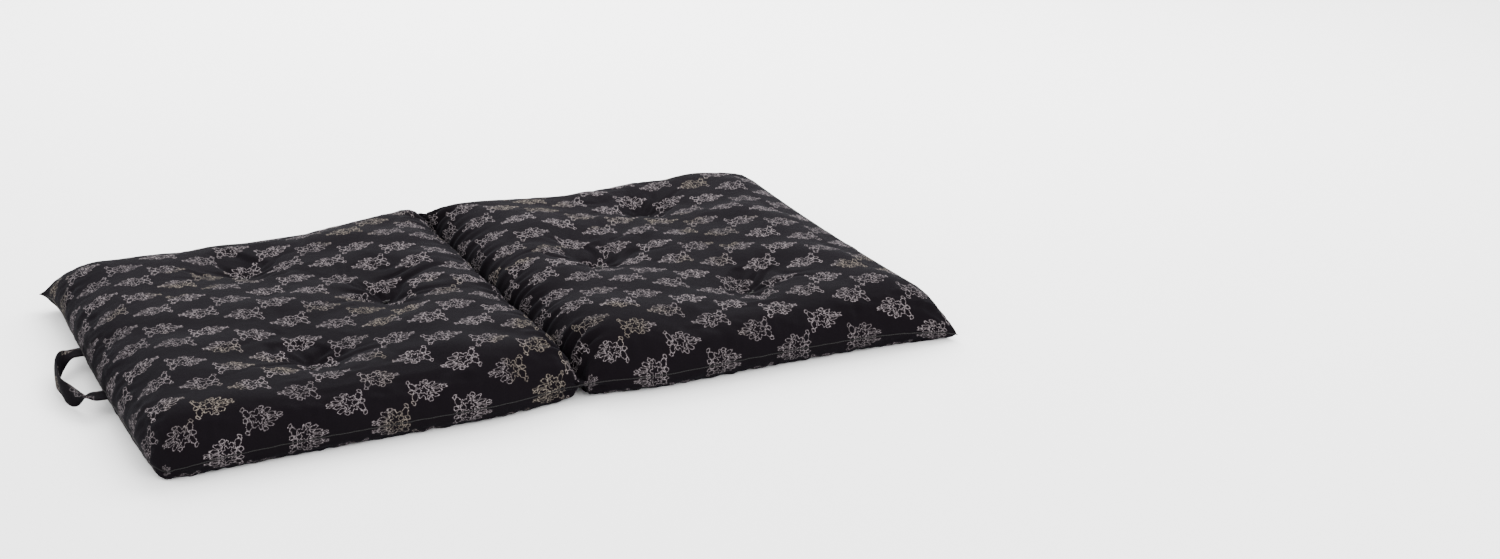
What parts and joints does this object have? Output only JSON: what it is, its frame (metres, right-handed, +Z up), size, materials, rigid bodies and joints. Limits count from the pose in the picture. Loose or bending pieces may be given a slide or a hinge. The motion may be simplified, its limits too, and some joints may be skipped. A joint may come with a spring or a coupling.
{
  "type": "futon mattress",
  "caption": "Small folding futon mattress: a dark printed cotton cover with tufted wadding, a sewn fold across its middle and a strap handle at each end.",
  "frame": {"origin": "centre of the bounding box on the floor, with the mattress lying open", "axes": "+X along the length, from the end whose strap handle stands out to the end with the care label; +Y across the width; +Z up"},
  "size_m": [1.0408, 0.6, 0.074],
  "materials": {
    "printed_cotton": "matte woven cotton, near black with grey printed sprigs",
    "cotton_wadding": "loose matte cotton wadding",
    "dark_twine": "matte twisted twine and thread",
    "satin_label": "soft satin ribbon"
  },
  "bodies": {
    "left_half": {"left_top_panel": "printed_cotton", "left_bottom_panel": "printed_cotton", "left_filling_lower": "cotton_wadding", "left_filling_middle": "cotton_wadding", "left_filling_upper": "cotton_wadding", "left_tuft_inner_top_knot": "dark_twine", "left_tuft_inner_bottom_knot": "dark_twine", "left_tuft_inner_twine": "dark_twine", "left_tuft_back_top_knot": "dark_twine", "left_tuft_back_bottom_knot": "dark_twine", "left_tuft_back_twine": "dark_twine", "left_tuft_front_top_knot": "dark_twine", "left_tuft_front_bottom_knot": "dark_twine", "left_tuft_front_twine": "dark_twine", "left_edge_seam_thread": "dark_twine", "fold_channel": "printed_cotton", "fold_stitching_left_top": "dark_twine", "fold_stitching_left_underside": "dark_twine", "fold_stitching_right_top": "dark_twine", "fold_stitching_right_underside": "dark_twine"},
    "right_half": {"right_top_panel": "printed_cotton", "right_bottom_panel": "printed_cotton", "right_filling_lower": "cotton_wadding", "right_filling_middle": "cotton_wadding", "right_filling_upper": "cotton_wadding", "right_tuft_inner_top_knot": "dark_twine", "right_tuft_inner_bottom_knot": "dark_twine", "right_tuft_inner_twine": "dark_twine", "right_tuft_back_top_knot": "dark_twine", "right_tuft_back_bottom_knot": "dark_twine", "right_tuft_back_twine": "dark_twine", "right_tuft_front_top_knot": "dark_twine", "right_tuft_front_bottom_knot": "dark_twine", "right_tuft_front_twine": "dark_twine", "right_edge_seam_thread": "dark_twine", "care_label": "satin_label"},
    "left_handle": {"left_handle_strap": "printed_cotton", "left_handle_tack_front": "dark_twine", "left_handle_tack_back": "dark_twine"},
    "right_handle": {"right_handle_strap": "printed_cotton", "right_handle_tack_front": "dark_twine", "right_handle_tack_back": "dark_twine"}
  },
  "joints": [
    {"name": "fold", "type": "hinge", "parent": "left_half", "child": "right_half", "pos_m": [0.01357, 0, 0.075], "axis": [0, -1, 0], "range_deg": [0, 180]},
    {"name": "left_handle_swing", "type": "hinge", "parent": "left_half", "child": "left_handle", "pos_m": [-0.47954, 0, 0.02], "axis": [0, 1, 0], "range_deg": [0, 70]},
    {"name": "right_handle_swing", "type": "hinge", "parent": "right_half", "child": "right_handle", "pos_m": [0.50687, 0, 0.02], "axis": [0, -1, 0], "range_deg": [0, 70]}
  ]
}
